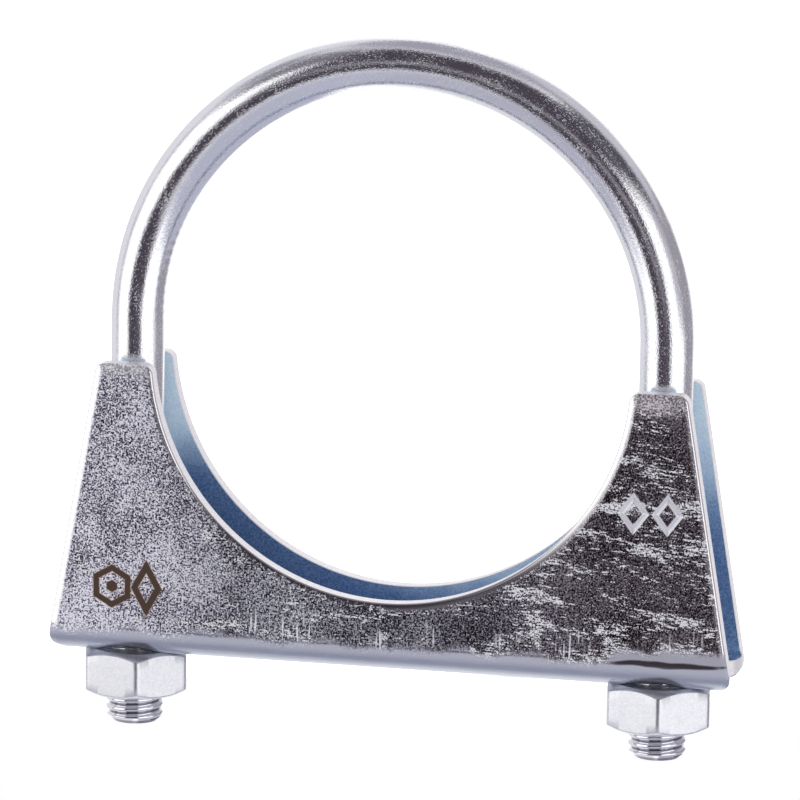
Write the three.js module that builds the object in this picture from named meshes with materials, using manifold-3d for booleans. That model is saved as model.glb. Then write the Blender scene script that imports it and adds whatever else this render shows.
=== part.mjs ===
// U-bolt clamp for an exhaust pipe: a bent rod with two threaded legs, a pressed steel saddle and two nuts.
// Millimetres. +X runs from the left leg to the right leg, +Y along the pipe, +Z up to the bolt's crown.
// The origin is the centre of the pipe's seat in the saddle, midway between the saddle's two walls.
import * as THREE from "three";
import { mergeGeometries, mergeVertices } from "three/addons/utils/BufferGeometryUtils.js";
import Module from "manifold-3d";

// Pipe and rod
const pipeDiameter = 80;
const pipeClearance = 0.5;
const rodRadius = 4.5; // a rolled thread stands proud of the rod that it is rolled on
const seatRadius = pipeDiameter / 2 + pipeClearance;
const legOffset = seatRadius + rodRadius;
const crownCentreHeight = 4; // above the seat's centre, since the clamp isn't tightened
const rodSides = 18;
const rodSteps = 52;

// Thread, M10 coarse
const threadPitch = 1.5;
const threadRadius = 4.9;
const threadRootRadius = 4.1;
const threadLength = 27;
const threadSides = 12;
const crestWidth = 0.25;
const ridgeFootWidth = 1.2;
const nutThreadClearance = 0.22; // covers the difference between the thread's flat facets and its round
const legEndHeight = -65.3;
const legEndChamfer = 1.1;
const runOutDepth = 0.2; // the run-out's cone ends this far under the root, inside the rod
const crestMargin = 0.1; // between the crests and the cylinder that the leg's end is cut to

// Saddle
const saddleWidth = 17.4;
const sheetThickness = 3.2;
const bendRadius = 4.6; // outside of the two bends
const baseUnderside = -52.4;
const armTop = -2.6;
const armOuterX = 50;
const baseHalfLength = 58.2;
const slantFootHeight = -50.6; // where the slanted ends turn in under the bends
const footHalfLength = 56.8;
const armCornerRadius = 1.3;
const legHoleRadius = 6.9;
const nutSeatRadius = 8.7;
const nutSeatDepth = 0.2;
const endNotchRadius = 4.2; // relief in each end of the base, between the bends

// Nuts
const nutAcrossFlats = 17;
const nutHeight = 8;
const nutBearingRadius = 7.7;
const nutChamferAngle = 30;
const nutCountersink = 1.1; // depth of the 45 degree cone that leads into the thread
const nutGap = 0.03; // between the nut and its seat
const leftNutTurn = 16; // degrees that a corner is turned from -Y, towards +X
const rightNutTurn = 10;

const roundSegments = 40;
const cutMargin = 2; // how far a cutting shape reaches past what it cuts
const nutTop = baseUnderside + nutSeatDepth - nutGap;
const nutBottom = nutTop - nutHeight;

const wasm = await Module();
wasm.setup();

const radians = THREE.MathUtils.degToRad;

// A closed three.js geometry as a solid that can be joined and cut.
function solid(geometry) {
  const bare = geometry.clone();
  bare.deleteAttribute("normal");
  bare.deleteAttribute("uv");
  const merged = mergeVertices(bare, 1e-4);
  return new wasm.Manifold(
    new wasm.Mesh({
      numProp: 3,
      vertProperties: new Float32Array(merged.attributes.position.array),
      triVerts: new Uint32Array(merged.index.array),
    }),
  );
}

// A solid as a named mesh.
function meshOf(name, shape, material) {
  const made = shape.getMesh();
  const geometry = new THREE.BufferGeometry();
  geometry.setAttribute("position", new THREE.BufferAttribute(made.vertProperties, 3));
  geometry.setIndex(new THREE.BufferAttribute(made.triVerts, 1));
  geometry.computeVertexNormals();
  const mesh = new THREE.Mesh(geometry, material);
  mesh.name = name;
  return mesh;
}

// A solid of revolution about the Z axis from (radius, height) points, listed upwards.
function revolved(points) {
  const profile = points.map(([radius, height]) => new THREE.Vector2(radius, height));
  return new THREE.LatheGeometry(profile, roundSegments).rotateX(Math.PI / 2);
}

// An upright cylinder between two heights, as a solid.
function uprightCylinder(radius, low, high) {
  return solid(revolved([[0, low], [radius, low], [radius, high], [0, high]]));
}

// The middle of the rod: up the left leg, round the crown and down the right leg, by length along it.
class RodPath extends THREE.Curve {
  constructor(legBottom) {
    super();
    this.straight = crownCentreHeight - legBottom;
    this.bend = Math.PI * legOffset;
  }

  getPoint(t, target = new THREE.Vector3()) {
    const along = t * (2 * this.straight + this.bend);
    if (along < this.straight) {
      return target.set(-legOffset, 0, crownCentreHeight - this.straight + along);
    }
    if (along > this.straight + this.bend) {
      return target.set(legOffset, 0, crownCentreHeight - (along - this.straight - this.bend));
    }
    const angle = (along - this.straight) / legOffset;
    return target.set(
      -legOffset * Math.cos(angle),
      0,
      crownCentreHeight + legOffset * Math.sin(angle),
    );
  }
}

// Puts every vertex of a geometry where a function of its index says.
function placed(geometry, placeOf) {
  const position = geometry.attributes.position;
  for (let i = 0; i < position.count; i += 1) {
    position.setXYZ(i, ...placeOf(i));
  }
  return geometry;
}

// A fan of triangles that closes a loop of points round the Z axis.
function fan(loop) {
  const middle = [0, 0, (loop[0][2] + loop[threadSides][2]) / 2];
  return placed(new THREE.CircleGeometry(1, loop.length - 1), (i) => (i === 0 ? middle : loop[i - 1]));
}

// A right-hand screw thread grown outwards by a clearance. Its skin is a ribbon one pitch wide, wound up
// the helix so that the top edge of each turn is the bottom edge of the next, with a fan over each end.
function threadSolid(low, high, clearance) {
  const root = threadRootRadius + clearance;
  const crest = threadRadius + clearance;
  const crestHalf = (crestWidth + clearance) / 2;
  const footHalf = (ridgeFootWidth + clearance) / 2;
  const profile = [
    [root, 0],
    [crest, footHalf - crestHalf],
    [crest, footHalf + crestHalf],
    [root, 2 * footHalf],
    [root, threadPitch],
  ];
  const strips = profile.length - 1;
  const turns = Math.ceil((high - low) / threadPitch) + 3;
  const steps = turns * threadSides;
  const firstTurn = Math.floor((low - legEndHeight) / threadPitch) - 1;
  // Every clearance has its crest at the same height, so a nut's thread always meets the leg's.
  const start = legEndHeight + firstTurn * threadPitch - footHalf;

  const pointAt = (step, row) => {
    const angle = (2 * Math.PI * (step % threadSides)) / threadSides;
    const [radius, rise] = profile[row];
    const height = start + (threadPitch * step) / threadSides + rise;
    return [radius * Math.cos(angle), radius * Math.sin(angle), height];
  };
  const ribbon = placed(new THREE.PlaneGeometry(1, 1, steps, strips), (i) => {
    const step = i % (steps + 1);
    const row = strips - Math.floor(i / (steps + 1));
    return pointAt(step, row);
  });
  const bottomLoop = [];
  const topLoop = [];
  for (let step = 0; step <= threadSides; step += 1) {
    bottomLoop.push(pointAt(step, 0));
    topLoop.push(pointAt(steps - threadSides + step, strips));
  }
  for (let row = strips - 1; row >= 0; row -= 1) {
    bottomLoop.push(pointAt(0, row));
    topLoop.push(pointAt(steps, row));
  }
  return solid(mergeGeometries([ribbon, fan(bottomLoop.reverse()), fan(topLoop)]));
}

// One threaded leg end about the Z axis, chamfered at the bottom and run out into the rod at the top.
function threadedEnd() {
  const top = legEndHeight + threadLength;
  const outside = threadRadius + crestMargin;
  const envelope = solid(
    revolved([
      [0, legEndHeight],
      [outside - legEndChamfer, legEndHeight],
      [outside, legEndHeight + legEndChamfer],
      [outside, top - threadPitch],
      [threadRootRadius - runOutDepth, top],
      [0, top],
    ]),
  );
  return threadSolid(legEndHeight, top, 0).intersect(envelope);
}

function uBoltSolid() {
  const rodBottom = legEndHeight + threadLength - threadPitch;
  const section = new THREE.Shape().absarc(0, 0, rodRadius, 0, 2 * Math.PI);
  const path = new RodPath(rodBottom);
  const rod = new THREE.ExtrudeGeometry(section, {
    extrudePath: path,
    steps: rodSteps,
    curveSegments: rodSides,
  });
  const end = threadedEnd();
  return solid(rod).add(end.translate(-legOffset, 0, 0)).add(end.translate(legOffset, 0, 0));
}

// The saddle's section across the pipe, from wall to wall: a channel that opens upwards.
function channelShape() {
  const half = saddleWidth / 2;
  const innerHalf = half - sheetThickness;
  const innerBend = bendRadius - sheetThickness;
  const floor = baseUnderside + sheetThickness;
  const top = armTop + cutMargin;
  const shape = new THREE.Shape();
  shape.moveTo(-half, top);
  shape.lineTo(-half, baseUnderside + bendRadius);
  shape.absarc(-half + bendRadius, baseUnderside + bendRadius, bendRadius, Math.PI, 1.5 * Math.PI);
  shape.absarc(half - bendRadius, baseUnderside + bendRadius, bendRadius, 1.5 * Math.PI, 2 * Math.PI);
  shape.lineTo(half, top);
  shape.lineTo(innerHalf, top);
  shape.absarc(innerHalf - innerBend, floor + innerBend, innerBend, 0, -0.5 * Math.PI, true);
  shape.absarc(-innerHalf + innerBend, floor + innerBend, innerBend, -0.5 * Math.PI, -Math.PI, true);
  shape.lineTo(-innerHalf, top);
  shape.closePath();
  return shape;
}

// The saddle seen along the pipe: slanted ends, an arm beside each leg and the round seat between them.
// An arm's outer corner is rounded from a point on the slant to a point on the arm's top.
function outlineShape() {
  const seatAngle = Math.asin(-armTop / seatRadius);
  const slant = Math.atan2(baseHalfLength - armOuterX, armTop - slantFootHeight);
  const turn = armCornerRadius * Math.tan((Math.PI / 2 - slant) / 2);
  const roundingX = armOuterX + turn * Math.sin(slant);
  const roundingTop = armTop - turn * Math.cos(slant);
  const shape = new THREE.Shape();
  shape.moveTo(-footHalfLength, baseUnderside - cutMargin);
  shape.lineTo(footHalfLength, baseUnderside - cutMargin);
  shape.lineTo(footHalfLength, baseUnderside);
  shape.lineTo(baseHalfLength, slantFootHeight);
  shape.lineTo(roundingX, roundingTop);
  shape.quadraticCurveTo(armOuterX, armTop, armOuterX - turn, armTop);
  shape.lineTo(seatRadius * Math.cos(seatAngle), armTop);
  shape.absarc(0, 0, seatRadius, -seatAngle, -Math.PI + seatAngle, true);
  shape.lineTo(-armOuterX + turn, armTop);
  shape.quadraticCurveTo(-armOuterX, armTop, -roundingX, roundingTop);
  shape.lineTo(-baseHalfLength, slantFootHeight);
  shape.lineTo(-footHalfLength, baseUnderside);
  shape.closePath();
  return shape;
}

function saddleSolid() {
  const length = 2 * (baseHalfLength + cutMargin);
  const channel = new THREE.ExtrudeGeometry(channelShape(), {
    depth: length,
    bevelEnabled: false,
    curveSegments: 5,
  });
  channel.translate(0, 0, -length / 2);
  channel.applyMatrix4(
    new THREE.Matrix4().makeBasis(
      new THREE.Vector3(0, 1, 0),
      new THREE.Vector3(0, 0, 1),
      new THREE.Vector3(1, 0, 0),
    ),
  );
  const outline = new THREE.ExtrudeGeometry(outlineShape(), {
    depth: saddleWidth + 2 * cutMargin,
    bevelEnabled: false,
    curveSegments: 26,
  });
  outline.translate(0, 0, -saddleWidth / 2 - cutMargin);
  outline.rotateX(Math.PI / 2);
  let saddle = solid(channel).intersect(solid(outline));
  const under = baseUnderside - cutMargin;
  const above = baseUnderside + sheetThickness + cutMargin;
  for (const side of [-1, 1]) {
    const x = side * legOffset;
    const hole = uprightCylinder(legHoleRadius, under, above);
    const seat = uprightCylinder(nutSeatRadius, under, baseUnderside + nutSeatDepth);
    const notch = uprightCylinder(endNotchRadius, under, above);
    saddle = saddle.subtract(hole.translate(x, 0, 0));
    saddle = saddle.subtract(seat.translate(x, 0, 0));
    saddle = saddle.subtract(notch.translate(side * baseHalfLength, 0, 0));
  }
  return saddle;
}

// A hexagon nut about the Z axis, chamfered on both faces, with the thread of the leg that it turns on.
function nutSolid(turn) {
  const cornerRadius = nutAcrossFlats / Math.sqrt(3);
  const outside = cornerRadius + cutMargin;
  const drop = (outside - nutBearingRadius) * Math.tan(radians(nutChamferAngle));
  const hexagon = new THREE.CylinderGeometry(cornerRadius, cornerRadius, nutHeight + cutMargin, 6);
  hexagon.rotateX(Math.PI / 2);
  hexagon.rotateZ(radians(turn));
  hexagon.translate(0, 0, (nutTop + nutBottom) / 2);
  const chamfers = solid(
    revolved([
      [0, nutBottom],
      [nutBearingRadius, nutBottom],
      [outside, nutBottom + drop],
      [outside, nutTop - drop],
      [nutBearingRadius, nutTop],
      [0, nutTop],
    ]),
  );
  const bore = threadRootRadius;
  const mouth = bore + nutCountersink + cutMargin;
  const countersinks = solid(
    revolved([
      [0, nutBottom - cutMargin],
      [mouth, nutBottom - cutMargin],
      [bore, nutBottom + nutCountersink],
      [bore, nutTop - nutCountersink],
      [mouth, nutTop + cutMargin],
      [0, nutTop + cutMargin],
    ]),
  );
  return solid(hexagon)
    .intersect(chamfers)
    .subtract(threadSolid(nutBottom, nutTop, nutThreadClearance))
    .subtract(countersinks);
}

// Bright zinc plating: the drawn rod is the smoothest, the rolled sheet of the saddle is mottled.
function rodZinc() {
  return new THREE.MeshStandardMaterial({ color: 0xb9bcc6, roughness: 0.22, metalness: 1 });
}

function sheetZinc() {
  return new THREE.MeshStandardMaterial({ color: 0x9c9ba6, roughness: 0.4, metalness: 1 });
}

function nutZinc() {
  return new THREE.MeshStandardMaterial({ color: 0xd2d3da, roughness: 0.32, metalness: 1 });
}

const clamp = new THREE.Group();
clamp.add(meshOf("saddle", saddleSolid(), sheetZinc()));
clamp.add(meshOf("u_bolt", uBoltSolid(), rodZinc()));
for (const [name, side, turn] of [["nut_left", -1, leftNutTurn], ["nut_right", 1, rightNutTurn]]) {
  const nut = meshOf(name, nutSolid(turn), nutZinc());
  nut.position.x = side * legOffset;
  clamp.add(nut);
}

export default clamp;
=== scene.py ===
"""U-bolt pipe clamp: a bent threaded rod, a pressed channel saddle and two hexagon nuts, all zinc plated.

Metres, in the frame of the CAD part: +X from the left leg to the right leg, +Y along the pipe,
+Z towards the crown of the bolt, with the origin at the centre of the pipe's seat.
"""

import math

import bpy
import numpy as np
from mathutils import Matrix, Vector
from mathutils.geometry import delaunay_2d_cdt


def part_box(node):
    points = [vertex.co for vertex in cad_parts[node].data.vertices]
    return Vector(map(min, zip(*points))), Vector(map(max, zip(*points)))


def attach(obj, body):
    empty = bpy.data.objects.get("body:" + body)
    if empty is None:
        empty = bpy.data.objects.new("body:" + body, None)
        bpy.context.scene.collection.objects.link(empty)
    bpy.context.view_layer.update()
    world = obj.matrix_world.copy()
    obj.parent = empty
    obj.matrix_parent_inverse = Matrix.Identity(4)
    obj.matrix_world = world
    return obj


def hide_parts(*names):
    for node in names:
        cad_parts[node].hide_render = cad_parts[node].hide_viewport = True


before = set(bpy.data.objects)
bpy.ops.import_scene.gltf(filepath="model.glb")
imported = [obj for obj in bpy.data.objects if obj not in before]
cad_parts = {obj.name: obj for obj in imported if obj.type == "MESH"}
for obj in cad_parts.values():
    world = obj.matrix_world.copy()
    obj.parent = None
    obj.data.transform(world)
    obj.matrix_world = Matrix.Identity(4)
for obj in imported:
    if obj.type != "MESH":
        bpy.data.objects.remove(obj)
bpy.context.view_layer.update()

MM = 0.001

# ---------------------------------------------------------------- places, from the CAD parts
saddle_low, saddle_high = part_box("saddle")
bolt_low, bolt_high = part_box("u_bolt")
nut_boxes = {name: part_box(name) for name in ("nut_left", "nut_right")}
leg_x = {name: (low.x + high.x) / 2 for name, (low, high) in nut_boxes.items()}
leg_offset = round(leg_x["nut_right"], 5)

rod_radius = 4.5 * MM
seat_radius = 40.5 * MM
crown_height = bolt_high.z - leg_offset - rod_radius
leg_end = bolt_low.z


# ---------------------------------------------------------------- meshes
def mesh_object(name, points, faces, normals=None):
    """A mesh object from points and faces, smooth, with its own vertex normals where they are given."""
    mesh = bpy.data.meshes.new(name)
    mesh.from_pydata([tuple(p) for p in points], [], [tuple(int(i) for i in f) for f in faces])
    mesh.validate()
    mesh.shade_smooth()
    if normals is not None:
        mesh.normals_split_custom_set_from_vertices([tuple(n) for n in normals])
    piece = bpy.data.objects.new(name, mesh)
    bpy.context.scene.collection.objects.link(piece)
    return piece


def ring_faces(first, second, count):
    """Quads between two closed rings of vertices that start at the indices first and second."""
    here = np.arange(count)
    after = (here + 1) % count
    return np.stack([first + here, first + after, second + after, second + here], axis=1).tolist()


def smooth(value):
    """Goes smoothly from 0 at or below 0 to 1 at or above 1."""
    value = np.clip(value, 0.0, 1.0)
    return value * value * (3 - 2 * value)


# ---------------------------------------------------------------- screw thread
PITCH = 1.5 * MM
ROOT_RADIUS = 4.12 * MM
CREST_RADIUS = 4.9 * MM
THREAD_LENGTH = 27 * MM
RUN_OUT = 2.2 * PITCH
LEG_TIP_RADIUS = CREST_RADIUS - 1.15 * MM


def thread_height(z, azimuth):
    """How far up its ridge a right-hand thread is, 0 at the root and 1 on the crest."""
    phase = (z - leg_end) / PITCH - azimuth / (2 * math.pi)
    from_root = np.abs(2 * (phase - np.floor(phase)) - 1)
    return 1 - (1 - from_root) ** 2.2


# ---------------------------------------------------------------- the bolt
def rod_stations(straight, bend):
    """Lengths along the rod, close together on the threads and on the bend."""
    per_pitch = 20
    on_bend = 420
    fine = np.arange(0, THREAD_LENGTH, PITCH / per_pitch)
    coarse = np.arange(THREAD_LENGTH, straight, 0.8 * MM)
    leg = np.concatenate([fine, coarse])
    crown = np.linspace(straight, straight + bend, on_bend)
    total = 2 * straight + bend
    return np.concatenate([leg, crown, (total - leg)[::-1]])


def build_rod():
    """The bent rod as one tube of rings, with the threads in its legs and a dished end on each."""
    sides = 72
    straight = crown_height - leg_end
    bend = math.pi * leg_offset
    stations = rod_stations(straight, bend)
    total = 2 * straight + bend
    turn = np.arange(sides) * 2 * math.pi / sides
    points = []
    for along in stations:
        if along < straight:
            centre = np.array([-leg_offset, 0.0, leg_end + along])
            outward = np.array([-1.0, 0.0, 0.0])
        elif along > straight + bend:
            centre = np.array([leg_offset, 0.0, leg_end + total - along])
            outward = np.array([1.0, 0.0, 0.0])
        else:
            angle = (along - straight) / leg_offset
            outward = np.array([-math.cos(angle), 0.0, math.sin(angle)])
            centre = np.array([0.0, 0.0, crown_height]) + leg_offset * outward
        across = np.outer(np.cos(turn), outward)
        across[:, 1] += np.sin(turn)
        from_end = min(along, total - along)
        if from_end < THREAD_LENGTH:
            azimuth = np.arctan2(across[:, 1], across[:, 0])
            ridge = thread_height(centre[2], azimuth)
            radius = ROOT_RADIUS + (CREST_RADIUS - ROOT_RADIUS) * ridge
            run_out = smooth((THREAD_LENGTH - from_end) / RUN_OUT)
            radius = rod_radius + (radius - rod_radius) * run_out
            chamfer = LEG_TIP_RADIUS + from_end
            radius = np.minimum(radius, chamfer)
        else:
            # The bending roll leaves faint ripples on the inside of the bend.
            inside = smooth((-np.cos(turn) - 0.74) / 0.2)
            left_bend = smooth((along - straight + 4 * MM) / (6 * MM))
            left_bend *= smooth((straight + 30 * MM - along) / (16 * MM))
            ripple_length = 1.9 * MM
            ripple_depth = 0.06 * MM
            ripple = 0.5 - 0.5 * math.cos(2 * math.pi * along / ripple_length)
            radius = rod_radius - ripple_depth * ripple * inside * left_bend
        points.append(centre + across * np.asarray(radius)[..., None])
    points = np.concatenate(points)
    faces = []
    for k in range(len(stations) - 1):
        faces += ring_faces(k * sides, (k + 1) * sides, sides)
    # A rolled thread draws its end in: a rounded rim round a shallow dish.
    count = len(points)
    extra = []
    last_ring = (len(stations) - 1) * sides
    for start, side in ((0, -1), (last_ring, 1)):
        previous = start
        for shrink, lift in ((0.2, 0.0), (0.45, 0.04), (1.2, 0.22), (2.4, 0.36)):
            radius = LEG_TIP_RADIUS - shrink * MM
            ring = np.stack(
                [
                    side * leg_offset + side * radius * np.cos(turn),
                    radius * np.sin(turn),
                    np.full(sides, leg_end + lift * MM),
                ],
                axis=1,
            )
            extra.append(ring)
            outer, inner = (previous, count) if side > 0 else (count, previous)
            faces += ring_faces(outer, inner, sides)
            previous = count
            count += sides
        extra.append(np.array([[side * leg_offset, 0.0, leg_end + 0.4 * MM]]))
        for j in range(sides):
            nxt = previous + (j + 1) % sides
            faces.append((previous + j, nxt, count) if side > 0 else (nxt, previous + j, count))
        count += 1
    points = np.concatenate([points] + extra)
    return mesh_object("bolt_rod", points, outward_faces(points, faces))


def outward_faces(points, faces):
    """The faces of a closed surface, turned so that they look out of it."""
    volume = 0.0
    for face in faces:
        a = points[face[0]]
        for j in range(1, len(face) - 1):
            volume += np.dot(a, np.cross(points[face[j]], points[face[j + 1]]))
    return faces if volume > 0 else [tuple(reversed(f)) for f in faces]


# ---------------------------------------------------------------- the nuts
NUT_FLATS = 17 * MM
NUT_SIDES = 6
# How far each nut is turned, in degrees
nut_turn = {"nut_left": 16, "nut_right": 10}


def build_nut(name):
    """A hexagon nut: flats, a 30 degree chamfer round both faces, countersinks and a threaded bore."""
    low, high = nut_boxes[name]
    bottom, top = low.z, high.z
    apothem = NUT_FLATS / 2
    bearing = 7.7 * MM
    corner_cut = 0.17 * MM
    chamfer_slope = math.tan(math.radians(30))
    bore = ROOT_RADIUS + 0.1 * MM
    mouth = bore + 1.0 * MM
    per_flat = 40
    steps = NUT_SIDES * per_flat
    base_turn = math.radians(nut_turn[name] - 90)
    # Samples crowd towards the corners, where the flats meet in a small round.
    on_flat = np.linspace(-1, 1, per_flat, endpoint=False)
    on_flat = np.sign(on_flat) * (1 - (1 - np.abs(on_flat)) ** 1.8)
    angle = np.concatenate([(on_flat + 2 * k + 1) * math.pi / NUT_SIDES for k in range(NUT_SIDES)])
    from_middle = np.concatenate([on_flat * math.pi / NUT_SIDES] * NUT_SIDES)
    hexagon = apothem / np.cos(from_middle)
    corner = apothem / math.cos(math.pi / NUT_SIDES)
    rounded = corner - corner_cut
    blend = 0.06 * MM
    hexagon = rounded - blend * np.logaddexp(0, (rounded - hexagon) / blend)
    azimuth = angle + base_turn
    rings = []

    def cone(radius):
        return np.maximum(radius - bearing, 0) * chamfer_slope

    def flat_ring(radius, z):
        radius = np.broadcast_to(radius, (steps,))
        z = np.broadcast_to(z, (steps,))
        rings.append(np.stack([radius * np.cos(azimuth), radius * np.sin(azimuth), z], axis=1))

    def half(face, sign):
        """The rings from the countersink to the flats. sign is -1 for the top face and 1 for the bottom."""
        on_cone = bearing + 0.25 * MM
        inner = hexagon - 0.14 * MM
        middle = 0.5 * (on_cone + inner)
        return [
            (mouth - 0.12 * MM, face + sign * 0.10 * MM),
            (mouth, face + sign * 0.01 * MM),
            (mouth + 0.12 * MM, face),
            (bearing - 0.35 * MM, face),
            (bearing - 0.05 * MM, face + sign * 0.012 * MM),
            (on_cone, face + sign * cone(on_cone)),
            (middle, face + sign * cone(middle)),
            (inner, face + sign * cone(inner)),
            (hexagon - 0.035 * MM, face + sign * (cone(hexagon) + 0.03 * MM)),
            (hexagon, face + sign * (cone(hexagon) + 0.13 * MM)),
        ]

    upper = half(top, -1)
    lower = half(bottom, 1)
    for radius, z in upper:
        flat_ring(radius, z)
    for share in (0.25, 0.5, 0.75):
        z_top = upper[-1][1]
        z_bottom = lower[-1][1]
        flat_ring(hexagon, z_top + (z_bottom - z_top) * share)
    for radius, z in reversed(lower):
        flat_ring(radius, z)
    # The bore, from the bottom countersink up to the top one.
    inside_low = bottom + 0.25 * MM
    inside_high = top - 0.25 * MM
    for z in np.arange(inside_low, inside_high, PITCH / 14):
        ridge = thread_height(z, azimuth)
        radius = bore + (CREST_RADIUS - ROOT_RADIUS) * ridge
        depth = min(z - bottom, top - z)
        countersink = mouth - depth
        flat_ring(np.maximum(radius, countersink), z)
    points = np.concatenate(rings)
    points[:, 0] += leg_x[name]
    count = len(rings)
    faces = []
    for k in range(count):
        faces += ring_faces(k * steps, ((k + 1) % count) * steps, steps)
    piece = mesh_object(name + "_hexagon", points, outward_faces(points, faces))
    weigh_normals(piece)
    return piece


def weigh_normals(piece):
    """Big flat faces keep their flat look, and only the narrow rounds between them shade round."""
    modifier = piece.modifiers.new("even_faces", "WEIGHTED_NORMAL")
    modifier.mode = "FACE_AREA"
    modifier.weight = 80


# ---------------------------------------------------------------- the saddle
SHEET = 3.2 * MM
BEND_OUTSIDE = 4.6 * MM
HALF_WIDTH = saddle_high.y
UNDERSIDE = saddle_low.z
ARM_TOP = saddle_high.z
ARM_OUTER = 50 * MM
BASE_END = saddle_high.x
FOOT_END = 56.8 * MM
FOOT_Z = -50.6 * MM
NOTCH_RADIUS = 4.2 * MM
HOLE_RADIUS = 6.9 * MM

BASE_HALF = HALF_WIDTH - BEND_OUTSIDE
BEND_LENGTH = (BEND_OUTSIDE - SHEET / 2) * math.pi / 2
WALL_START = BASE_HALF + BEND_LENGTH
FLAT_START = UNDERSIDE + BEND_OUTSIDE
SLANT = (BASE_END - ARM_OUTER) / (ARM_TOP - FOOT_Z)


def flat_of_height(z):
    """How far from the middle of the unbent sheet a height on the saddle's outside lies."""
    if z >= UNDERSIDE + BEND_OUTSIDE:
        return WALL_START + z - UNDERSIDE - BEND_OUTSIDE
    angle = math.acos(1 - (z - UNDERSIDE) / BEND_OUTSIDE)
    return BASE_HALF + BEND_LENGTH * angle / (math.pi / 2)


def flat_of_width(y):
    """The same for a place across the underside."""
    if abs(y) <= BASE_HALF:
        return y
    angle = math.asin((abs(y) - BASE_HALF) / BEND_OUTSIDE)
    return math.copysign(BASE_HALF + BEND_LENGTH * angle / (math.pi / 2), y)


def folded(flat, depth):
    """Places and outward directions on the bent saddle, for (x, across) on the unbent sheet.

    depth is how far below the sheet's outside the places lie.
    """
    x, across = flat[:, 0], flat[:, 1]
    side = np.sign(across)
    angle = np.clip((np.abs(across) - BASE_HALF) / BEND_LENGTH, 0, 1) * math.pi / 2
    wall = np.maximum(np.abs(across) - WALL_START, 0)
    base = np.minimum(np.abs(across), BASE_HALF)
    normal = np.stack([np.zeros_like(x), side * np.sin(angle), -np.cos(angle)], axis=1)
    y = side * (base + BEND_OUTSIDE * np.sin(angle))
    z = UNDERSIDE + BEND_OUTSIDE * (1 - np.cos(angle)) + wall
    points = np.stack([x, y, z], axis=1) - normal * np.asarray(depth)[..., None]
    return points, normal


def in_fold(flat, direction):
    """A direction in the unbent sheet, as it points on the bent saddle."""
    across = flat[:, 1]
    side = np.sign(across)
    angle = np.clip((np.abs(across) - BASE_HALF) / BEND_LENGTH, 0, 1) * math.pi / 2
    along = np.stack([np.zeros_like(angle), side * np.cos(angle), np.sin(angle)], axis=1)
    result = along * (direction[:, 1] * side)[:, None]
    result[:, 0] += direction[:, 0]
    return result


def arc(centre, radius, start, end, steps):
    angle = np.linspace(start, end, steps)
    return np.stack([centre[0] + radius * np.cos(angle), centre[1] + radius * np.sin(angle)], axis=1)


def evenly(points, spacing):
    """The same open line with points at an even spacing, ends kept."""
    points = np.asarray(points)
    lengths = np.linalg.norm(np.diff(points, axis=0), axis=1)
    along = np.concatenate([[0], np.cumsum(lengths)])
    count = max(2, int(round(along[-1] / spacing)) + 1)
    wanted = np.linspace(0, along[-1], count)
    return np.stack([np.interp(wanted, along, points[:, i]) for i in (0, 1)], axis=1)


def join_rounded(lines, radii, spacing):
    """One closed line from open lines that meet end to end, with each corner rounded to its radius."""
    count = len(lines)
    trimmed = []
    corners = []
    cuts = []
    for k in range(count):
        a, b = lines[k], lines[(k + 1) % count]
        before = a[-1] - a[-2]
        after = b[1] - b[0]
        before = before / np.linalg.norm(before)
        after = after / np.linalg.norm(after)
        turn = math.acos(np.clip(np.dot(before, after), -1, 1))
        cuts.append(radii[k] * math.tan(turn / 2))
        corners.append((a[-1], math.cos(turn / 2)))
    for k in range(count):
        line = evenly(lines[k], spacing / 8)
        along = np.concatenate([[0], np.cumsum(np.linalg.norm(np.diff(line, axis=0), axis=1))])
        keep_from, keep_to = cuts[k - 1], along[-1] - cuts[k]
        wanted_count = max(2, int(round((keep_to - keep_from) / spacing)) + 1)
        wanted = np.linspace(keep_from, keep_to, wanted_count)
        trimmed.append(np.stack([np.interp(wanted, along, line[:, i]) for i in (0, 1)], axis=1))
    closed = []
    for k in range(count):
        closed.append(trimmed[k])
        corner, pull = corners[k]
        start, end = trimmed[k][-1], trimmed[(k + 1) % count][0]
        steps = max(2, int(math.ceil(np.linalg.norm(end - start) / (0.16 * MM))))
        share = np.linspace(0, 1, steps + 1)[1:-1, None]
        # With this pull towards the corner the curve is a true arc between straight lines.
        parts = ((1 - share) ** 2, 2 * pull * share * (1 - share), share**2)
        closed.append((parts[0] * start + parts[1] * corner + parts[2] * end) / sum(parts))
    line = np.concatenate(closed)
    gap = np.linalg.norm(line - np.roll(line, 1, axis=0), axis=1)
    return line[gap > 0.02 * MM]


def loop_normals(loop):
    """The outward direction at each point of an anticlockwise loop, and how much a mitre stretches it."""
    forward = np.roll(loop, -1, axis=0) - loop
    forward /= np.linalg.norm(forward, axis=1)[:, None]
    edge_out = np.stack([forward[:, 1], -forward[:, 0]], axis=1)
    mean = edge_out + np.roll(edge_out, 1, axis=0)
    mean /= np.linalg.norm(mean, axis=1)[:, None]
    stretch = 1 / np.maximum(np.sum(mean * edge_out, axis=1), 0.5)
    return mean, stretch


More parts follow.
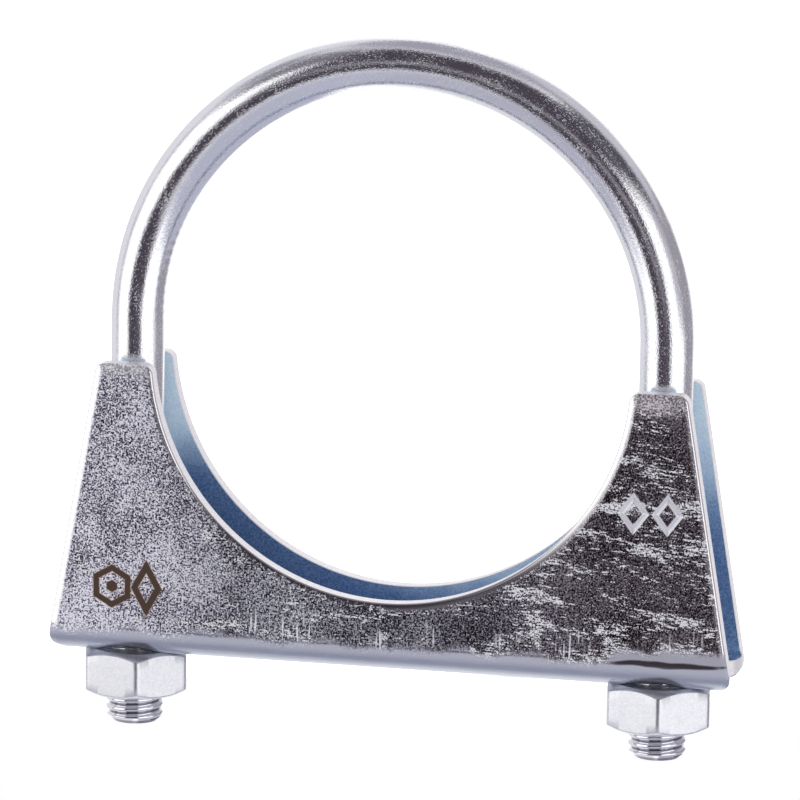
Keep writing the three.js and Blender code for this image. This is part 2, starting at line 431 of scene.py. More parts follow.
def saddle_outline():
    """The outline of the unbent sheet, anticlockwise."""
    notch_angle = math.acos((BASE_END - FOOT_END) / NOTCH_RADIUS)
    notch = arc((BASE_END, 0), NOTCH_RADIUS, math.pi, math.pi - notch_angle, 24)
    foot = np.array([notch[-1], [FOOT_END, BASE_HALF], [BASE_END, flat_of_height(FOOT_Z)]])
    heights = np.linspace(FOOT_Z, ARM_TOP, 60)
    slanted = np.array([[BASE_END - (z - FOOT_Z) * SLANT, flat_of_height(z)] for z in heights])
    seat_angle = math.asin(-ARM_TOP / seat_radius)
    arm_in = seat_radius * math.cos(seat_angle)
    arm = np.array([slanted[-1], [arm_in, flat_of_height(ARM_TOP)]])
    centre = (0.0, flat_of_height(0.0))
    seat = arc(centre, seat_radius, -seat_angle, -math.pi + seat_angle, 200)
    mirror_x = np.array([-1.0, 1.0])
    half = [notch, foot, slanted, arm, seat]
    half += [line[::-1] * mirror_x for line in (arm, slanted, foot, notch)]
    # Round each corner, but not the middle of the notch. The foot's outer corners are rounder.
    tight, wide = 1.7 * MM, 2.6 * MM
    half_radii = [tight, wide, tight, tight, tight, tight, wide, tight, 0.0]
    other = [line * np.array([-1.0, -1.0]) for line in half]
    return join_rounded(half + other, half_radii + half_radii, 0.55 * MM)


def hole_loop(x):
    """The outline of the leg hole at x, clockwise on the unbent sheet."""
    count = 96
    angles = -np.arange(count) * 2 * math.pi / count
    ring = [(x + HOLE_RADIUS * math.cos(a), HOLE_RADIUS * math.sin(a)) for a in angles]
    return np.array([[ring_x, flat_of_width(ring_y)] for ring_x, ring_y in ring])


def inside_loops(points, loops):
    """Which points lie inside the outline and outside the holes, by counting crossings."""
    inside = np.zeros(len(points), bool)
    px, py = points[:, 0], points[:, 1]
    for loop in loops:
        a, b = loop, np.roll(loop, -1, axis=0)
        for (ax, ay), (bx, by) in zip(a, b):
            if ay == by:
                continue
            crosses = (ay > py) != (by > py)
            at = ax + (py - ay) * (bx - ax) / (by - ay)
            inside ^= crosses & (px < at)
    return inside


def clear_of(points, loops, gap):
    """Points further than gap from every loop's own points."""
    keep = np.ones(len(points), bool)
    for loop in loops:
        for start in range(0, len(points), 4000):
            part = points[start : start + 4000]
            distance = np.sqrt(((part[:, None, :] - loop[None, :, :]) ** 2).sum(-1)).min(1)
            keep[start : start + 4000] &= distance > gap
    return keep


def bend_points():
    """Points that carry the two bends and the lines where they meet the flat base and walls."""
    rows = np.linspace(BASE_HALF, WALL_START, 11)
    xs = np.arange(-BASE_END, BASE_END, 0.9 * MM)
    grid = [(x, side * row) for side in (-1, 1) for row in rows for x in xs]
    return np.array(grid)


# The marks on the front wall: two stamped diamonds on the right arm, an etched mark low on the left one.
STAMP_CENTRE = (leg_offset - 0.6 * MM, -22.6 * MM)
STAMP_DEPTH = 0.3 * MM
ETCH_CENTRE = (0.5 * MM - leg_offset, -40.5 * MM)
DIAMOND_AT = 2.85


def diamond_distance(u, v, absolute):
    """Distance in mm from the outline of an upright diamond whose centre is DIAMOND_AT to the right."""
    half_width, half_height = 2.05, 2.75
    slope = math.hypot(half_width, half_height)
    along = (absolute(u - DIAMOND_AT) * half_height + absolute(v) * half_width) / slope
    return absolute(along - half_width * half_height / slope)


def stamp_depth(flat):
    """How deep the stamp presses the front wall's outside in."""
    front = flat[:, 1] < -WALL_START
    # The same distance on both sides of the centre makes the two diamonds.
    z = -flat[:, 1] - WALL_START + UNDERSIDE + BEND_OUTSIDE
    u = np.abs(flat[:, 0] - STAMP_CENTRE[0]) / MM
    half_groove = 0.52
    near = diamond_distance(u, (z - STAMP_CENTRE[1]) / MM, np.abs)
    groove = 1 - smooth(near / half_groove)
    return np.where(front, STAMP_DEPTH * groove, 0.0)


def stamp_points():
    """A fine grid of points that carries the stamped diamonds."""
    xs = np.arange(-5.7, 5.71, 0.15) * MM + STAMP_CENTRE[0]
    zs = np.arange(-3.6, 3.61, 0.15) * MM + STAMP_CENTRE[1]
    return np.array([(x, -flat_of_height(z)) for x in xs for z in zs])


def face_triangles(loops, extra):
    """Triangles that fill the outline round the holes.

    They hold the numbers of their points, which are the loops' own ones and then the extra ones.
    """
    points = np.concatenate(loops + [extra])
    edges = []
    start = 0
    for loop in loops:
        count = len(loop)
        edges += [(start + j, start + (j + 1) % count) for j in range(count)]
        start += count
    found = delaunay_2d_cdt([Vector(p / MM) for p in points], edges, [], 0, 1e-7, True)
    triangles, originals = found[2], found[3]
    # A point that the triangulation added itself has no number, so triangles on it are left out.
    back = [ids[0] if ids else -1 for ids in originals]
    triangles = np.array([[back[i] for i in t] for t in triangles if len(t) == 3])
    triangles = triangles[(triangles >= 0).all(1)]
    middle = points[triangles].mean(1)
    return triangles[inside_loops(middle, loops)]


# The rolled edge of a sheared sheet: a short bend, a long slight slope and a tight round.
# Each is an arc, as (radius, angle at its end in degrees).
ROLL_ARCS = ((1.6 * MM, 9), (8.2 * MM, 15), (0.46 * MM, 90))
# The holes' edges roll in less, so that they stay clear of the end notches.
HOLE_ARCS = ((0.2 * MM, 9), (0.3 * MM, 15), (0.46 * MM, 90))


def roll_profile(arcs):
    """From the flat face to the cut edge: (inset, depth, outward share, edgeward share) at each step."""
    run, depth, start = 0.0, 0.0, 0.0
    steps = [(0.0, 0.0, 0.0)]
    for radius, end in arcs:
        end = math.radians(end)
        for angle in np.linspace(start, end, 6)[1:]:
            place_x = run + radius * (math.sin(angle) - math.sin(start))
            place_z = depth + radius * (math.cos(start) - math.cos(angle))
            steps.append((place_x, place_z, angle))
        run, depth, _ = steps[-1]
        start = end
    return [(run - place_x, place_z, math.cos(angle), math.sin(angle)) for place_x, place_z, angle in steps]


# The saddle's materials, in the order of its material slots
OUTSIDE, INSIDE, CUT_EDGE = range(3)


def cut_profile():
    """From the cut edge to the sheet's other face, in the same numbers as roll_profile."""
    burr = 0.16 * MM
    steps = [(0.0, SHEET - burr, 0.0, 1.0)]
    for turn in (math.pi / 4, math.pi / 2):
        inset = burr * (1 - math.cos(turn))
        depth = SHEET - burr + burr * math.sin(turn)
        steps.append((inset, depth, -math.sin(turn), math.cos(turn)))
    return steps


def build_saddle():
    """The saddle: edges round the outline and the holes, and a filled face on each side of the sheet."""
    loops = [saddle_outline(), hole_loop(-leg_offset), hole_loop(leg_offset)]
    rolled, rolled_hole = roll_profile(ROLL_ARCS), roll_profile(HOLE_ARCS)
    cut = cut_profile()
    profiles = [rolled + cut, rolled_hole + cut, rolled_hole + cut]
    cut_from = len(rolled) - 1
    layer_count = len(profiles[0])
    directions = [loop_normals(loop) for loop in loops]
    points, normals, faces = [], [], []
    looks = []
    starts = []
    inset_loops = []
    count = 0
    for k in range(layer_count):
        starts.append([])
        inset_loops.append([])
        for loop, profile, (mean, stretch) in zip(loops, profiles, directions):
            inset, depth, out_share, edge_share = profile[k]
            moved = loop - mean * (stretch * inset)[:, None]
            place, outward = folded(moved, np.full(len(moved), depth))
            edgeward = in_fold(moved, mean)
            points.append(place)
            normals.append(out_share * outward + edge_share * edgeward)
            starts[-1].append(count)
            inset_loops[k].append(moved)
            count += len(loop)
    for k in range(layer_count - 1):
        for a, b, loop in zip(starts[k], starts[k + 1], loops):
            faces += ring_faces(a, b, len(loop))
            looks += [CUT_EDGE if k >= cut_from else OUTSIDE] * len(loop)
    last = layer_count - 1
    for k, depth, sign in ((0, 0.0, 1), (last, SHEET, -1)):
        edge_loops = inset_loops[k]
        extra = bend_points()
        if sign > 0:
            extra = np.concatenate([extra, stamp_points()])
        extra = extra[inside_loops(extra, edge_loops)]
        extra = extra[clear_of(extra, edge_loops, 0.4 * MM)]
        triangles = face_triangles(edge_loops, extra)
        pressed = stamp_depth(extra) if sign > 0 else np.zeros(len(extra))
        place, outward = folded(extra, depth + pressed)
        if sign > 0:
            outward = pressed_normals(extra, outward)
        loop_points = sum(len(loop) for loop in loops)
        first = starts[k][0]
        index = np.where(triangles < loop_points, triangles + first, triangles - loop_points + count)
        points.append(place)
        normals.append(outward * sign)
        count += len(extra)
        faces += index.tolist() if sign > 0 else index[:, ::-1].tolist()
        looks += [OUTSIDE if sign > 0 else INSIDE] * len(index)
    points = np.concatenate(points)
    normals = np.concatenate(normals)
    faces = consistent(points, faces, normals)
    piece = mesh_object("saddle_pressing", points, faces, normals)
    for material in (sheet_zinc(), inner_zinc(), edge_zinc()):
        piece.data.materials.append(material)
    piece.data.polygons.foreach_set("material_index", looks)
    return piece


def pressed_normals(flat, outward):
    """Outward directions that follow the stamped grooves on the front wall."""
    reach = 0.02 * MM
    along_x = (stamp_depth(flat + [reach, 0]) - stamp_depth(flat - [reach, 0])) / (2 * reach)
    across = (stamp_depth(flat + [0, reach]) - stamp_depth(flat - [0, reach])) / (2 * reach)
    tilted = outward + in_fold(flat, np.stack([along_x, across], axis=1))
    return tilted / np.linalg.norm(tilted, axis=1)[:, None]


def consistent(points, faces, normals):
    """Faces turned to look the way that their corners' directions say."""
    result = []
    for face in faces:
        a, b, c = points[face[0]], points[face[1]], points[face[2]]
        facing = np.cross(b - a, c - a)
        mean = sum(normals[i] for i in face)
        result.append(tuple(face) if np.dot(facing, mean) >= 0 else tuple(reversed(face)))
    return result


# ---------------------------------------------------------------- shader nodes
def connect(tree, value, socket):
    """Gives a node's socket a constant, or what another node works out."""
    if isinstance(value, Value):
        tree.links.new(value.socket, socket)
    elif isinstance(value, tuple) and socket.type == "RGBA":
        socket.default_value = (*value, 1.0)
    else:
        socket.default_value = value


class Value:
    """What a shader node works out. Arithmetic on it adds the nodes that do the sum."""

    def __init__(self, tree, socket):
        self.tree = tree
        self.socket = socket

    def math(self, operation, *others):
        node = self.tree.nodes.new("ShaderNodeMath")
        node.operation = operation
        for value, socket in zip((self, *others), node.inputs):
            connect(self.tree, value, socket)
        return Value(self.tree, node.outputs[0])

    def __add__(self, other):
        return self.math("ADD", other)

    def __sub__(self, other):
        return self.math("SUBTRACT", other)

    def __rsub__(self, other):
        return self.math("MULTIPLY_ADD", -1.0, other)

    def __mul__(self, other):
        return self.math("MULTIPLY", other)

    def __truediv__(self, other):
        return self.math("DIVIDE", other)

    def __neg__(self):
        return self.math("MULTIPLY", -1.0)

    def __abs__(self):
        return self.math("ABSOLUTE")

    __radd__ = __add__


def largest(first, *others):
    for other in others:
        first = first.math("MAXIMUM", other)
    return first


def smallest(first, *others):
    for other in others:
        first = first.math("MINIMUM", other)
    return first


def length(x, y):
    return (x * x + y * y).math("SQRT")


def step(value, low, high):
    """Goes smoothly from 0 where value is low to 1 where it is high. low may be the greater one."""
    node = value.tree.nodes.new("ShaderNodeMapRange")
    node.interpolation_type = "SMOOTHSTEP"
    for given, socket in zip((value, low, high), node.inputs):
        connect(value.tree, given, socket)
    return Value(value.tree, node.outputs[0])


def mix(share, first, second):
    """The first colour where share is 0 and the second where it is 1."""
    node = share.tree.nodes.new("ShaderNodeMix")
    node.data_type = "RGBA"
    for given, socket in zip((share, first, second), (node.inputs[0], node.inputs[6], node.inputs[7])):
        connect(share.tree, given, socket)
    return Value(share.tree, node.outputs[2])


def noise(place, size, detail=2.0, roughness=0.5):
    """Noise from 0 to 1 over the place. size is its grain, one number or one for each direction."""
    tree = place[0].tree
    sizes = size if isinstance(size, tuple) else (size, size, size)
    merged = tree.nodes.new("ShaderNodeCombineXYZ")
    for value, grain, socket in zip(place, sizes, merged.inputs):
        connect(tree, value / grain, socket)
    node = tree.nodes.new("ShaderNodeTexNoise")
    tree.links.new(merged.outputs[0], node.inputs["Vector"])
    node.inputs["Scale"].default_value = 1.0
    node.inputs["Detail"].default_value = detail
    node.inputs["Roughness"].default_value = roughness
    return Value(tree, node.outputs[0])


def separate(tree, socket):
    """The three numbers of a vector."""
    node = tree.nodes.new("ShaderNodeSeparateXYZ")
    tree.links.new(socket, node.inputs[0])
    return tuple(Value(tree, output) for output in node.outputs)


def bump(height, distance, strength):
    node = height.tree.nodes.new("ShaderNodeBump")
    node.inputs["Strength"].default_value = strength
    node.inputs["Distance"].default_value = distance
    connect(height.tree, height, node.inputs["Height"])
    return Value(height.tree, node.outputs[0])


class Surface:
    """A new material with one principled shader, and the place of each point on the part."""

    def __init__(self, name):
        self.material = bpy.data.materials.new(name)
        self.material.use_nodes = True
        self.tree = self.material.node_tree
        self.tree.nodes.clear()
        self.shader = self.tree.nodes.new("ShaderNodeBsdfPrincipled")
        output = self.tree.nodes.new("ShaderNodeOutputMaterial")
        self.tree.links.new(self.shader.outputs[0], output.inputs[0])
        self.place = separate(self.tree, self.tree.nodes.new("ShaderNodeTexCoord").outputs["Object"])

    def finish(self, **looks):
        """Sets the shader's sockets by name, with _ for a space."""
        for name, value in looks.items():
            connect(self.tree, value, self.shader.inputs[name.replace("_", " ").title()])
        return self.material


# ---------------------------------------------------------------- materials
def in_mark(x, y, z):
    """Distance in mm outside the etched strokes: a hexagonal ring round a dot, and a diamond."""
    centre_x, centre_z = ETCH_CENTRE
    u = (x - centre_x) / MM
    v = (z - centre_z) / MM
    half_stroke, half_flats, dot, wall = 0.48, 3.2, 0.9, 0.5
    from_hexagon = abs(u + 2.4)
    slanted = from_hexagon * math.cos(math.radians(60)) + abs(v) * math.sin(math.radians(60))
    hexagon = largest(from_hexagon, slanted)
    ring = abs(hexagon - half_flats + half_stroke) - half_stroke
    diamond = diamond_distance(u - 0.7, v * 0.74, abs) - half_stroke
    return largest(smallest(ring, hexagon - dot, diamond), (y + HALF_WIDTH) / MM - wall)


def in_stamp(x, y, z):
    """Share of the way into the stamped grooves on the front wall."""
    centre_x, centre_z = STAMP_CENTRE
    u = (x - centre_x) / MM
    v = (z - centre_z) / MM
    near = diamond_distance(abs(u), v, abs)
    return step(near, 0.62, 0.42) * step(y, -HALF_WIDTH + 0.6 * MM, -HALF_WIDTH + 0.5 * MM)


def sheet_zinc():
    """Zinc plated rolled sheet: dark and bright grains with rubbed flecks, smooth where it was formed."""
    surface = Surface("sheet_zinc")
    x, y, z = place = surface.place
    # Painted shade: the face is painted lighter on the left and darker towards the middle and the right,
    # where it also turns brown.
    painted_shade_to_middle = step(x, -52 * MM, -14 * MM)
    tint_and_shade_to_right = step(x, -14 * MM, 48 * MM)
    grain = noise(place, 0.29 * MM, 2.0, 0.62)
    tints = noise(place, 0.45 * MM, 1.0)
    patches = noise(place, 11 * MM, 3.0)
    # Bright and dark grains: pale blue-grey on the left, turning to dark brown on the right. The darkening
    # from left to right is painted shade; the turn to brown is a tint of the plating.
    bright = grain + (tints - 0.5) * 0.35 + (patches - 0.5) * 0.25
    bright = step(bright, painted_shade_to_middle * 0.05 + 0.38, painted_shade_to_middle * 0.07 + 0.58)
    light_grain = mix(painted_shade_to_middle, mix(tints, (0.76, 0.8, 0.97), (0.98, 0.92, 0.95)), (0.84, 0.85, 0.95))
    light_grain = mix(tint_and_shade_to_right, light_grain, (0.74, 0.66, 0.72))
    dark_grain = mix(painted_shade_to_middle, mix(tints, (0.07, 0.08, 0.18), (0.18, 0.12, 0.13)), (0.04, 0.036, 0.06))
    dark_grain = mix(tint_and_shade_to_right, dark_grain, (0.042, 0.024, 0.034))
    colour = mix(bright, dark_grain, light_grain)
    specks = step(noise(place, 0.24 * MM, 1.0), 0.6, 0.7)
    colour = mix(specks * 0.6, colour, (0.78, 0.76, 0.8))
    # Rubbed flecks lie along the rolling direction, which slopes down a little to the right.
    lean = math.radians(4.5)
    along = x * math.cos(lean) - z * math.sin(lean)
    across = x * math.sin(lean) + z * math.cos(lean)
    drawn = noise((along, y, across), (1.5 * MM, 4 * MM, 0.34 * MM), 2.0)
    clusters = noise((along, y, across), (9 * MM, 12 * MM, 2.6 * MM), 2.0)
    level = drawn + (clusters - 0.5) * 1.0 + (grain - 0.5) * 0.5
    fleck = step(level + tint_and_shade_to_right * 0.08, 0.65, 0.75) * step(grain + (tints - 0.5) * 0.4, 0.36, 0.52)
    colour = mix(fleck, colour, mix(grain, (0.62, 0.62, 0.68), (1.0, 1.0, 1.0)))
    # Vertical die marks above the bend
    strokes = noise(place, (0.4 * MM, 4 * MM, 7 * MM), 2.0)
    by_bend = step(z, FLAT_START + 8 * MM, FLAT_START + 2 * MM)
    stroke = step(strokes, 0.58, 0.68) * by_bend * step(patches, 0.42, 0.6)
    colour = mix(stroke * 0.8, colour, (0.85, 0.86, 0.92))
    white = largest(fleck, stroke, specks * 0.5, bright * (1 - painted_shade_to_middle * 0.55) * (1 - tint_and_shade_to_right))
    # The bend is smooth, with a ragged upper edge, higher near the right end.
    ragged = (strokes - 0.5) * 1.2 * MM + (noise(place, (7 * MM, 9 * MM, 30 * MM), 2.0) - 0.5) * 5 * MM
    ragged = ragged + (grain - 0.5) * 5 * MM
    higher = step(x, 34 * MM, 44 * MM) * 2.0 * MM
    formed = step(z + ragged - higher, FLAT_START + 0.5 * MM, FLAT_START - 0.9 * MM)
    over_line = step(z, FLAT_START - 2.4 * MM, FLAT_START - 0.7 * MM) * formed
    smears = noise(place, (5 * MM, 1.4 * MM, 1.0 * MM), 3.0, 0.6)
    formed_zinc = mix(smears, (0.5, 0.53, 0.62), (0.66, 0.68, 0.74))
    formed_zinc = mix(over_line, formed_zinc, (0.46, 0.47, 0.56))
    formed_zinc = mix(step(z, FLAT_START - 0.4 * MM, FLAT_START + 0.4 * MM), formed_zinc, (0.4, 0.4, 0.47))
    # Where the die ended there is a dark line, thin and broken, that swells to a lens near the right end.
    from_lens = (x - 47.5 * MM) / (10 * MM)
    lens = largest(1 - from_lens * from_lens, 0.0)
    line_wander = (noise(place, 9 * MM, 2.0) - 0.5) * 1.2 * MM
    half_line = lens * 0.36 * MM + 0.05 * MM
    line = step(abs(z + line_wander - FLAT_START), half_line + 0.3 * MM, half_line - 0.05 * MM)
    line = line * largest(step(grain + tints * 0.5, 0.5, 0.85) * 0.8, step(lens, 0.0, 0.4) * 0.9)
    colour = mix(formed, colour, mix(line, formed_zinc, (0.14, 0.115, 0.13)))
    # The rolled edges are smooth, and pale except in the middle under the pipe, where painted shade darkens
    # them.
    # A painted dark reflection follows the left arm's inner rim.
    left_half = step(x, 2 * MM, -2 * MM)
    from_side = BASE_END - (z - FOOT_Z) * SLANT - abs(x) + (1 - left_half) * 0.6 * MM
    from_seat = length(x, z) - seat_radius + left_half * 0.6 * MM
    from_edge = smallest(from_side, from_seat)
    rolled = step(from_edge + (grain - 0.5) * 1.8 * MM, 1.55 * MM, 0.9 * MM) * (1 - formed)
    seat_bottom_shade = step(abs(x), 36 * MM, 20 * MM)
    colour = mix(rolled, colour, mix(seat_bottom_shade, (0.94, 0.92, 0.94), (0.4, 0.38, 0.41)))
    rim_place = from_seat + (grain - 0.5) * 1.2 * MM
    dark_reflection_rim = step(rim_place, 1.6 * MM, 1.2 * MM) * left_half * step(z, -24 * MM, -12 * MM)
    colour = mix(dark_reflection_rim * (1 - rolled) * 0.85, colour, (0.1, 0.075, 0.1))
    # The arms' ends are paler, duller and smoother.
    cloudy_z = z + (patches - 0.5) * 5 * MM
    arm_end = step(cloudy_z, ARM_TOP - 4.2 * MM, ARM_TOP - 0.6 * MM) * (1 - rolled) * 0.8
    arm_end_colour_left = mix(bright, (0.5, 0.48, 0.53), (1.0, 1.0, 1.0))
    arm_end_colour = mix(tint_and_shade_to_right, arm_end_colour_left, mix(bright, (0.2, 0.17, 0.2), (0.85, 0.79, 0.83)))
    colour = mix(arm_end, colour, arm_end_colour)
    smooth_share = largest(formed, rolled, arm_end * 0.3)
    # The stamped grooves are painted pale as a highlight on their walls, and the mark is etched brown with
    # a pale tan edge.
    pressed = in_stamp(x, y, z)
    colour = mix(pressed * 0.9, colour, (0.88, 0.88, 0.92))
    outside = in_mark(x, y, z)
    etched = step(outside, 0.05, -0.04)
    colour = mix(step(outside, 0.26, 0.1) * 0.6, colour, (0.6, 0.42, 0.3))
    colour = mix(etched, colour, mix(grain, (0.045, 0.022, 0.012), (0.09, 0.05, 0.032)))
    white = white * (1 - largest(smooth_share, pressed, etched, dark_reflection_rim))
    dull = over_line * (1 - line) * 0.8
    matte = largest(white * 0.8, etched * 0.9, pressed * 0.4, dull, arm_end * 0.75)
    relief = (grain + fleck * 0.5) * (1 - largest(smooth_share, etched * 0.5))
    return surface.finish(
        base_color=colour,
        metallic=1 - matte,
        roughness=0.27 + matte * 0.25 - rolled * 0.1,
        normal=bump(relief, 0.03 * MM, 0.6),
    )


def inner_zinc():
    """The channel's inside: even, bluish zinc, painted paler as light towards the arm tops and by the
    seat's right half, and painted deeper blue as shade lower down.
    """
    surface = Surface("inner_zinc")
    x, _, z = place = surface.place
    grain = noise(place, 0.3 * MM, 2.0, 0.6)
    cloud = noise(place, 9 * MM, 2.0)
    cloudy_z = z + (cloud - 0.5) * 10 * MM
    # Painted light and shade: pale where the inside is lit, towards the arm tops and by the seat's right
    # half, and deep blue lower down between the walls.
    lit_by_seat = step(x, -12 * MM, 14 * MM) * step(x, 38 * MM, 24 * MM) * step(cloudy_z, -45 * MM, -37 * MM)
    tint_and_shade_to_right = step(x, 0.0, 50 * MM)
    shade_below = tint_and_shade_to_right * -8 * MM - 25 * MM
    light_above = tint_and_shade_to_right * 5 * MM - 13 * MM
    painted_light_share = largest(step(cloudy_z, shade_below, light_above), lit_by_seat * 0.8)
    spots = step(grain, 0.3, 0.7)
    painted_shade_zinc = mix(spots, (0.15, 0.29, 0.52), (0.36, 0.52, 0.8))
    painted_lit_zinc = mix(spots, (0.62, 0.82, 1.0), (0.8, 0.94, 1.0))
    return surface.finish(
        base_color=mix(painted_light_share, painted_shade_zinc, painted_lit_zinc),
        metallic=0.65 - painted_light_share * 0.5,
        roughness=0.36 + grain * 0.12,
        normal=bump(grain, 0.02 * MM, 0.4),
    )


def edge_zinc():
    """Sheared edges of the sheet, pale and a little streaked across."""
    surface = Surface("edge_zinc")
    streaks = noise(surface.place, (0.25 * MM, 2 * MM, 0.25 * MM), 2.0)
    return surface.finish(
        base_color=mix(step(streaks, 0.3, 0.7), (0.86, 0.83, 0.85), (0.97, 0.95, 0.96)),
        metallic=0.5,
        roughness=0.4 + streaks * 0.1,
        normal=bump(streaks, 0.03 * MM, 0.5),
    )


def rod_zinc():
    """Drawn rod, bright zinc plated: a mirror with a fine drawn grain and tiny dull pits."""
    surface = Surface("rod_zinc")
    x, y, z = surface.place
    above = largest(z - crown_height, 0.0)
    from_axis = length(x, above)
    angle = above.math("ARCTAN2", -x)
    along = smallest(z - crown_height, 0.0) + angle * leg_offset
    drawn = (from_axis, y, along)
    grain = noise(drawn, (0.22 * MM, 0.22 * MM, 0.4 * MM), 2.0, 0.6)
    wave = noise(drawn, (1.1 * MM, 1.1 * MM, 6 * MM), 2.0)
    # Painted shade darkens the thread roots.
    from_leg = length(abs(x) - leg_offset, y)
    on_thread = step(z, leg_end + THREAD_LENGTH, leg_end + THREAD_LENGTH - 3 * MM)
    thread_root_shade = step(from_leg, CREST_RADIUS - 0.35 * MM, ROOT_RADIUS + 0.1 * MM) * on_thread
    pits = noise(drawn, (0.19 * MM, 0.19 * MM, 0.3 * MM), 1.0) + (wave - 0.5) * 0.5
    pits = step(pits, 0.56, 0.74) * (1 - on_thread)
    colour = mix(thread_root_shade * 0.8, mix(grain, (0.88, 0.88, 0.92), (0.97, 0.97, 0.99)), (0.2, 0.18, 0.23))
    return surface.finish(
        base_color=colour,
        metallic=1 - pits * 0.28,
        roughness=0.06 + wave * 0.06 + pits * 0.3,
        normal=bump((grain + wave * 0.6) * (1 - on_thread * 0.8), 0.055 * MM, 0.5),
    )


def nut_zinc():
    """Forged nut, satin zinc plated, with faint marks on its flats."""
    surface = Surface("nut_zinc")
    grain = noise(surface.place, 0.38 * MM, 3.0, 0.6)
    marks = noise(surface.place, (1.4 * MM, 1.4 * MM, 3 * MM), 3.0, 0.55)
    return surface.finish(
        base_color=mix(step(grain + marks * 0.7, 0.6, 1.05), (0.75, 0.75, 0.79), (0.88, 0.88, 0.91)),
        metallic=1.0,
        roughness=0.27 + marks * 0.14,
        normal=bump(grain + marks, 0.03 * MM, 0.5),
    )


# ---------------------------------------------------------------- studio
def studio_world():
    """A white studio: soft boxes beside a dark front, a pale table below and a white backdrop."""
    world = bpy.data.worlds.new("studio")
    bpy.context.scene.world = world
    world.use_nodes = True
    tree = world.node_tree
    tree.nodes.clear()
    x, y, z = separate(tree, tree.nodes.new("ShaderNodeTexCoord").outputs["Generated"])
    azimuth = x.math("ARCTAN2", -y) * math.degrees(1)
    elevation = z.math("ARCSINE") * math.degrees(1)
    colour = (1.1, 1.1, 1.11)
    # Areas of the room, in degrees, each over the ones before it:
    # azimuths, elevations, colour and how soft the edge is.
    areas = (
        ((-150, -97), (-90, 90), (0.74, 0.74, 0.78), 8),
        ((80, 150), (-90, 90), (0.33, 0.31, 0.35), 7),
        ((104, 165), (22, 80), (0.56, 0.55, 0.6), 6),
        ((-72, -22), (30, 62), (0.2, 0.19, 0.22), 6),
        ((-110, -72), (36, 60), (0.3, 0.3, 0.34), 6),
        ((42, 98), (26, 58), (0.085, 0.08, 0.1), 6),
        ((-200, 200), (64, 200), (0.36, 0.35, 0.41), 6),
        ((-100, 200), (-200, -28), (0.46, 0.47, 0.57), 4),
        ((-62, -20), (-200, -22), (0.44, 0.44, 0.52), 5),
        ((-31, 45), (-24, 60), (0.066, 0.056, 0.074), 5),
        ((-75, -31), (-19, 30), (1.25, 1.25, 1.26), 4),
        ((-95, -80), (-60, 40), (0.5, 0.48, 0.52), 3),
        ((31, 91), (-30, -8), (1.3, 1.3, 1.32), 4),
        ((25, 60), (-12, 20), (1.3, 1.3, 1.32), 4),
        ((62, 84), (-4, 26), (0.5, 0.49, 0.53), 4),
    )
    for azimuths, elevations, shade, soft in areas:
        share = within(azimuth, azimuths, soft) * within(elevation, elevations, soft)
        colour = mix(share, colour, shade)
    # A thin slanting streak in the dark front
    streak = within(azimuth, (-21, 12), 6) * within(elevation + azimuth * 0.43, (-2, 2), 4)
    colour = mix(streak, colour, (0.66, 0.64, 0.68))
    # Plain soft white lights the rough surfaces, and the camera sees plain white behind the object.
    path = tree.nodes.new("ShaderNodeLightPath")
    colour = mix(Value(tree, path.outputs["Is Diffuse Ray"]), colour, (0.95, 0.95, 0.98))
    colour = mix(Value(tree, path.outputs["Is Camera Ray"]), colour, (1.0, 1.0, 1.0))
    background = tree.nodes.new("ShaderNodeBackground")
    connect(tree, colour, background.inputs[0])
    output = tree.nodes.new("ShaderNodeOutputWorld")
    tree.links.new(background.outputs[0], output.inputs[0])


def within(value, limits, soft):
    """1 between the two limits and 0 outside them, over a soft edge."""
    low, high = limits
    return step(value, low - soft, low + soft) * step(value, high + soft, high - soft)


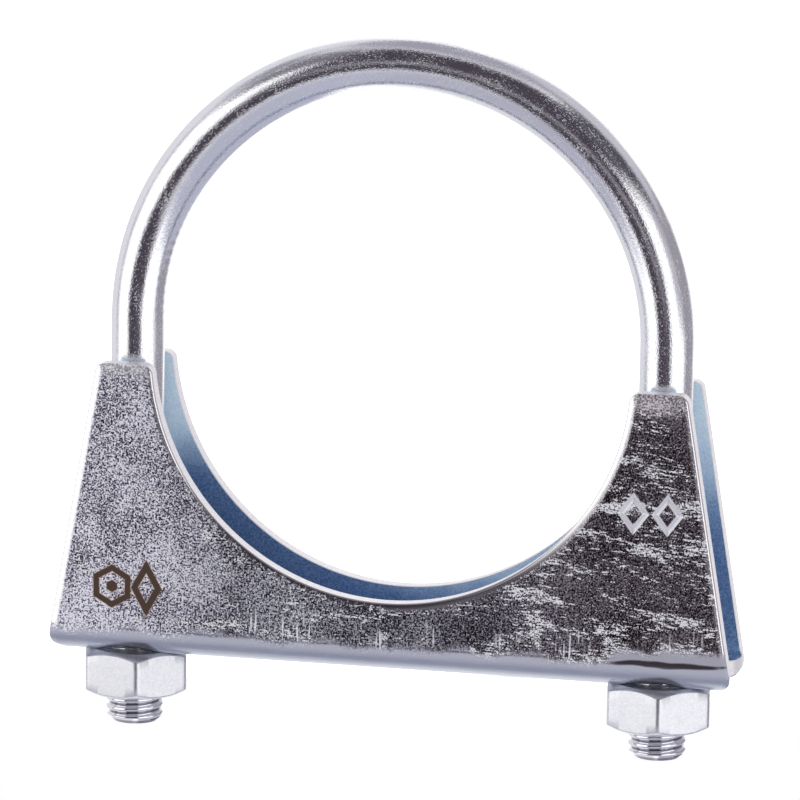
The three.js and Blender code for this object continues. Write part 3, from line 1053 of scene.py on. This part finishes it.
def add_camera():
    """The view of the object: a little from the right and from above, from about a metre."""
    azimuth, elevation, roll = math.radians(12.47), math.radians(10.95), math.radians(0.94)
    distance = 0.967
    focal_length = 261.495
    target = Vector((0.15, 0.0, -7.6)) * MM
    level = math.cos(elevation)
    back = Vector((math.sin(azimuth) * level, -math.cos(azimuth) * level, math.sin(elevation)))
    data = bpy.data.cameras.new("camera")
    data.sensor_width = 36
    data.lens = focal_length
    data.clip_start, data.clip_end = 0.01, 100
    camera = bpy.data.objects.new("camera", data)
    bpy.context.scene.collection.objects.link(camera)
    place = Matrix.Translation(target + back * distance)
    facing = back.to_track_quat("Z", "Y").to_matrix().to_4x4()
    camera.matrix_world = place @ facing @ Matrix.Rotation(roll, 4, "Z")
    bpy.context.scene.camera = camera


def add_floor():
    """A round white floor below the object, which neither reflections nor diffuse light meet."""
    size = 1.2
    rings, sides = 12, 64
    turn = np.arange(sides) * 2 * math.pi / sides
    height = leg_end - 13 * MM
    points = [np.array([[0.0, 0.0, height]])]
    faces = [(0, 1 + j, 1 + (j + 1) % sides) for j in range(sides)]
    for k in range(1, rings + 1):
        radius = size * k / rings
        ring = [radius * np.cos(turn), radius * np.sin(turn), np.full(sides, height)]
        points.append(np.stack(ring, axis=1))
        if k > 1:
            faces += ring_faces(1 + (k - 2) * sides, 1 + (k - 1) * sides, sides)
    floor = mesh_object("floor", np.concatenate(points), faces)
    white = Surface("floor_white").finish(
        base_color=(0.9, 0.9, 0.9), roughness=0.9, emission_color=(1.0, 1.0, 1.0), emission_strength=1.0
    )
    floor.data.materials.append(white)
    floor.visible_glossy = False
    floor.visible_diffuse = False


# ---------------------------------------------------------------- the scene
scene = bpy.context.scene
scene.view_settings.view_transform = "Standard"
scene.view_settings.look = "None"
studio_world()
add_camera()
add_floor()

saddle_piece = build_saddle()
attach(saddle_piece, "saddle")
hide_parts("saddle")

rod_piece = build_rod()
rod_piece.data.materials.append(rod_zinc())
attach(rod_piece, "u_bolt")
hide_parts("u_bolt")

nut_material = nut_zinc()
for nut_name in ("nut_left", "nut_right"):
    nut_piece = build_nut(nut_name)
    nut_piece.data.materials.append(nut_material)
    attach(nut_piece, nut_name)
    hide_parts(nut_name)
